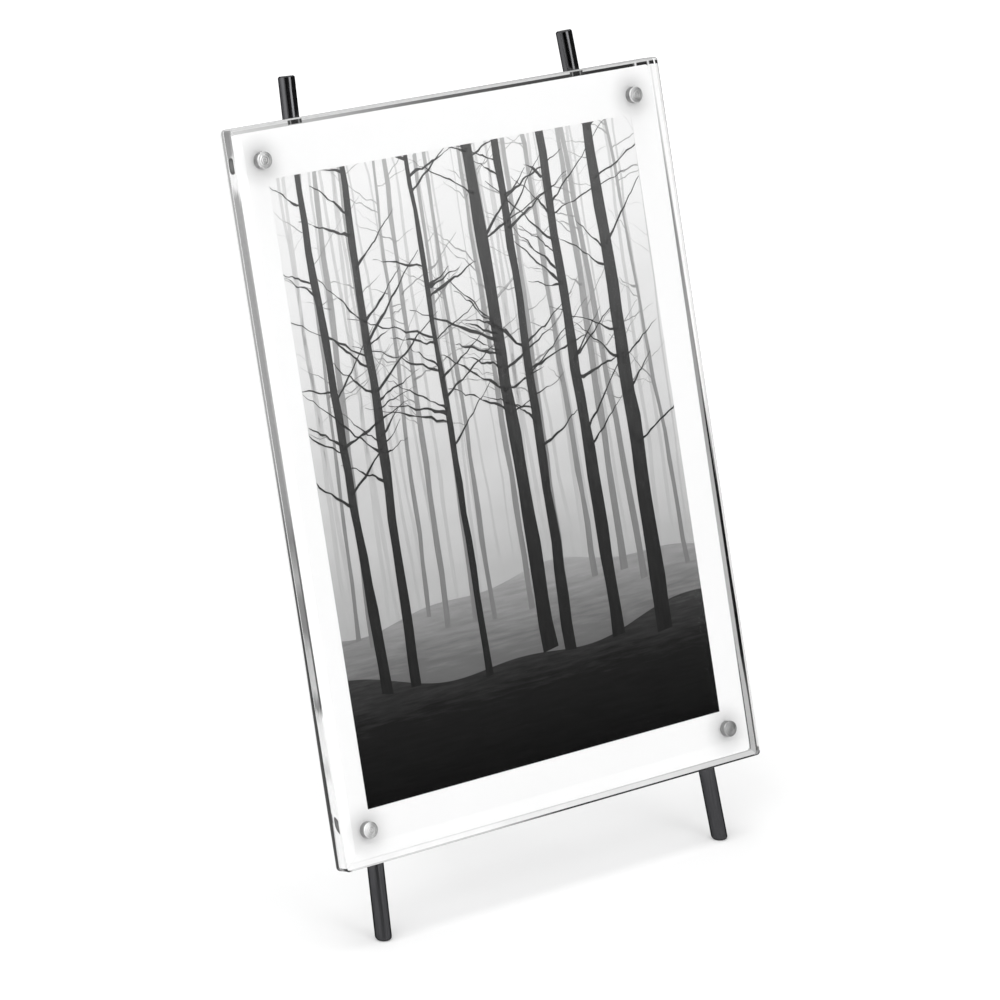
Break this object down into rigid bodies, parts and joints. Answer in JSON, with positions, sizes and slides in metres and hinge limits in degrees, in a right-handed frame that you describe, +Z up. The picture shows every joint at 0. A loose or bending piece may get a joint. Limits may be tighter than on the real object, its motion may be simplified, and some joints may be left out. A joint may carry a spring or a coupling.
{
  "type": "magnetic acrylic photo frame on an easel",
  "caption": "Clear acrylic panels hold a printed sheet between them by corner magnets, on a leaning metal easel with a folding rear leg.",
  "frame": {"origin": "middle of the footprint, on the surface it stands on", "axes": "+Z up, the picture faces -Y and leans back towards +Y, +X to the viewer's right"},
  "size_m": [0.151, 0.0794, 0.2369],
  "materials": {
    "clear_acrylic": "gloss",
    "photo_paper": "satin",
    "nickel_plate": "gloss",
    "black_nickel": "gloss",
    "screw_steel": "satin"
  },
  "bodies": {
    "stand": {"rear_panel": "clear_acrylic", "magnet_rear_top_left": "nickel_plate", "magnet_rear_top_right": "nickel_plate", "magnet_rear_bottom_left": "nickel_plate", "magnet_rear_bottom_right": "nickel_plate", "screw_lower_left": "screw_steel", "screw_upper_left": "screw_steel", "screw_lower_right": "screw_steel", "screw_upper_right": "screw_steel", "leg_left": "black_nickel", "leg_right": "black_nickel", "crossbar": "black_nickel", "collar_left": "black_nickel", "collar_right": "black_nickel"},
    "front_cover": {"front_panel": "clear_acrylic", "magnet_front_top_left": "nickel_plate", "magnet_front_top_right": "nickel_plate", "magnet_front_bottom_left": "nickel_plate", "magnet_front_bottom_right": "nickel_plate"},
    "print": {"photo_sheet": "photo_paper"},
    "rear_leg": {"leg_rear": "black_nickel", "hinge_knuckle": "black_nickel"}
  },
  "joints": [
    {"name": "cover_pull", "type": "slide", "parent": "stand", "child": "front_cover", "axis": [0, -0.9681, 0.2504], "range_m": [0, 0.04]},
    {"name": "print_slide", "type": "slide", "parent": "stand", "child": "print", "axis": [0, 0.2504, 0.9681], "range_m": [0, 0.21]},
    {"name": "rear_leg_fold", "type": "hinge", "parent": "stand", "child": "rear_leg", "pos_m": [0, 0.00461, 0.14405], "axis": [-1, 0, 0], "range_deg": [0, 27.36]}
  ]
}
